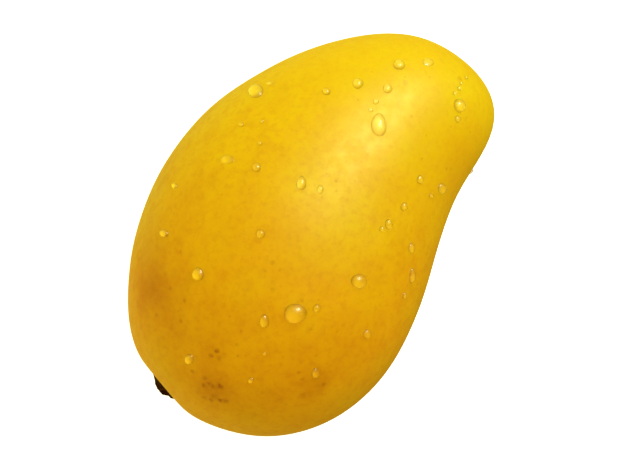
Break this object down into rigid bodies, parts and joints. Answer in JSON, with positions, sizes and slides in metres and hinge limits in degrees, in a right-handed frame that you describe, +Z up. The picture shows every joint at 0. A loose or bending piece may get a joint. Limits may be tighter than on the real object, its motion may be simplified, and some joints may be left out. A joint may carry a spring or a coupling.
{
  "type": "mango",
  "caption": "Whole ripe yellow mango, smooth and kidney-shaped, lying on its flatter cheek, with a dark broken stalk end and drops of water on its skin.",
  "frame": {"origin": "bottom centre of the box around the fruit as it lies, on the small flat spot's plane", "axes": "+X from the stalk to the beak, +Y towards the rounded back of the kidney shape, +Z up through the fruit's thickness"},
  "size_m": [0.1201, 0.0819, 0.0677],
  "materials": {
    "skin": "ripe yellow mango skin, waxy and softly glossy, with fine paler and darker dots",
    "stalk": "dark dry broken stalk",
    "water": "clear water in standing drops"
  },
  "bodies": {
    "root": {"fruit": "skin", "stalk": "stalk"}
  },
  "joints": []
}
